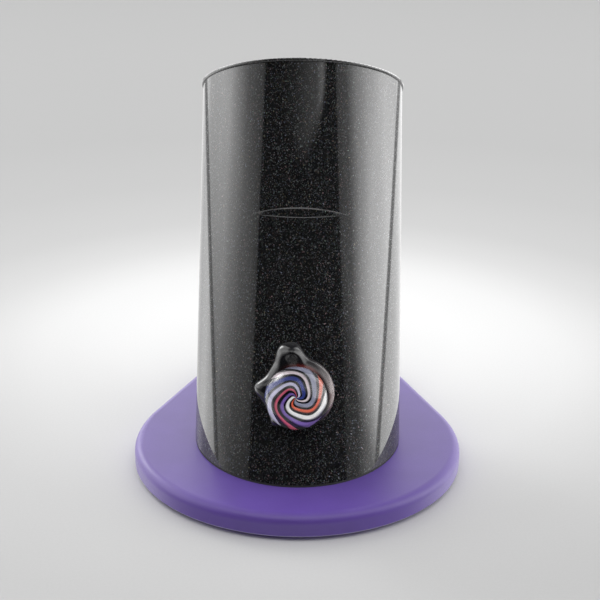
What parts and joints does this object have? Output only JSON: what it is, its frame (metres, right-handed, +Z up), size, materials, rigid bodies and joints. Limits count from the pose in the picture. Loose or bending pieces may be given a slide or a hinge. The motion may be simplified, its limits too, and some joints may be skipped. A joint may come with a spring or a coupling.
{
  "type": "desktop hot-air vaporizer",
  "caption": "Desktop hot-air vaporizer: a round metal housing that leans back on a pick-shaped base plate, with a rotary heat dial behind an art-glass knob.",
  "frame": {"origin": "middle of the footprint, on the surface that the rubber feet stand on", "axes": "+Z up, -Y to the front where the knob is, +X to the right as the user sees it"},
  "size_m": [0.161, 0.209, 0.1939],
  "materials": {
    "plate_finish": "satin purple powder coat",
    "flake_black": "gloss black with fine multi-colour metal flake under clear coat",
    "black_rubber": "matt moulded",
    "steel": "bright zinc-plated",
    "black_steel": "black oxide",
    "alloy": "fine machined",
    "black_alloy": "satin black anodised",
    "brass": "machined",
    "clear_glass": "clear, ground at the mouth",
    "smoke_glass": "smoky clear, fire polished",
    "marble_glass": "clear, fire polished",
    "swirl_glass": "opaque coloured twists of red, white, lavender and blue",
    "ceramic": "white, unglazed",
    "hot_wire": "oxidised resistance wire",
    "board_green": "printed circuit board with solder mask",
    "black_plastic": "moulded",
    "green_plastic": "moulded terminal housing",
    "red_plastic": "moulded film capacitor case",
    "ferrite": "coated ferrite",
    "phenolic": "resin board",
    "red_wire": "silicone insulation",
    "white_wire": "glass-braided insulation",
    "fuse_glass": "clear"
  },
  "bodies": {
    "housing": {"base_plate": "plate_finish", "base_screws": "black_steel", "rubber_feet": "black_rubber", "foot_screws": "steel", "body_tube": "flake_black", "foot_gasket": "black_rubber", "foot_ring": "alloy", "ring_screws": "black_steel", "badge_strip": "flake_black", "top_cap": "flake_black", "cap_screws": "black_steel", "port_collar": "black_alloy", "collar_screws": "steel", "cover_clip": "steel", "heater_base": "ceramic", "heater_base_screws": "steel", "heater_core": "ceramic", "heating_wire": "hot_wire", "heat_shield": "steel", "shield_rivets": "alloy", "heater_deck": "steel", "deck_posts": "brass", "cap_post_screws": "black_steel", "deck_screws": "steel", "thermal_cutout": "steel", "chassis": "steel", "dimmer_board": "board_green", "board_spacers": "brass", "board_screws": "steel", "choke": "ferrite", "film_capacitor": "red_plastic", "triac": "black_plastic", "heat_sink": "alloy", "terminal_block": "green_plastic", "terminal_screws": "steel", "control_can": "steel", "control_bush": "brass", "control_spacer": "phenolic", "control_washer": "steel", "control_nut": "steel", "resistance_track": "phenolic", "power_switch": "black_plastic", "control_terminals": "steel", "cord_gland": "black_plastic", "fuse_holder": "black_plastic", "panel_nuts": "black_plastic", "spade_terminals": "steel", "heater_wires": "white_wire", "control_wires": "red_wire", "fuse_wire": "red_wire"},
    "knob": {"knob_collar": "smoke_glass", "knob_hub": "brass", "knob_marble": "marble_glass", "knob_swirl": "swirl_glass", "control_shaft": "steel", "control_wiper": "brass"},
    "heater_cover": {"heater_cover": "clear_glass"},
    "fuse_cap": {"fuse_cap": "black_plastic", "fuse_link_glass": "fuse_glass", "fuse_link_ends": "steel"}
  },
  "joints": [
    {"name": "knob_turn", "type": "hinge", "parent": "housing", "child": "knob", "pos_m": [0, -0.06915, 0.05285], "axis": [0, -0.9063, 0.4226], "range_deg": [-158, 142]},
    {"name": "cover_slide", "type": "slide", "parent": "housing", "child": "heater_cover", "axis": [0, 0.4226, 0.9063], "range_m": [0, 0.08]},
    {"name": "fuse_slide", "type": "slide", "parent": "housing", "child": "fuse_cap", "axis": [0.5736, 0.7424, -0.3462], "range_m": [0, 0.042]}
  ]
}
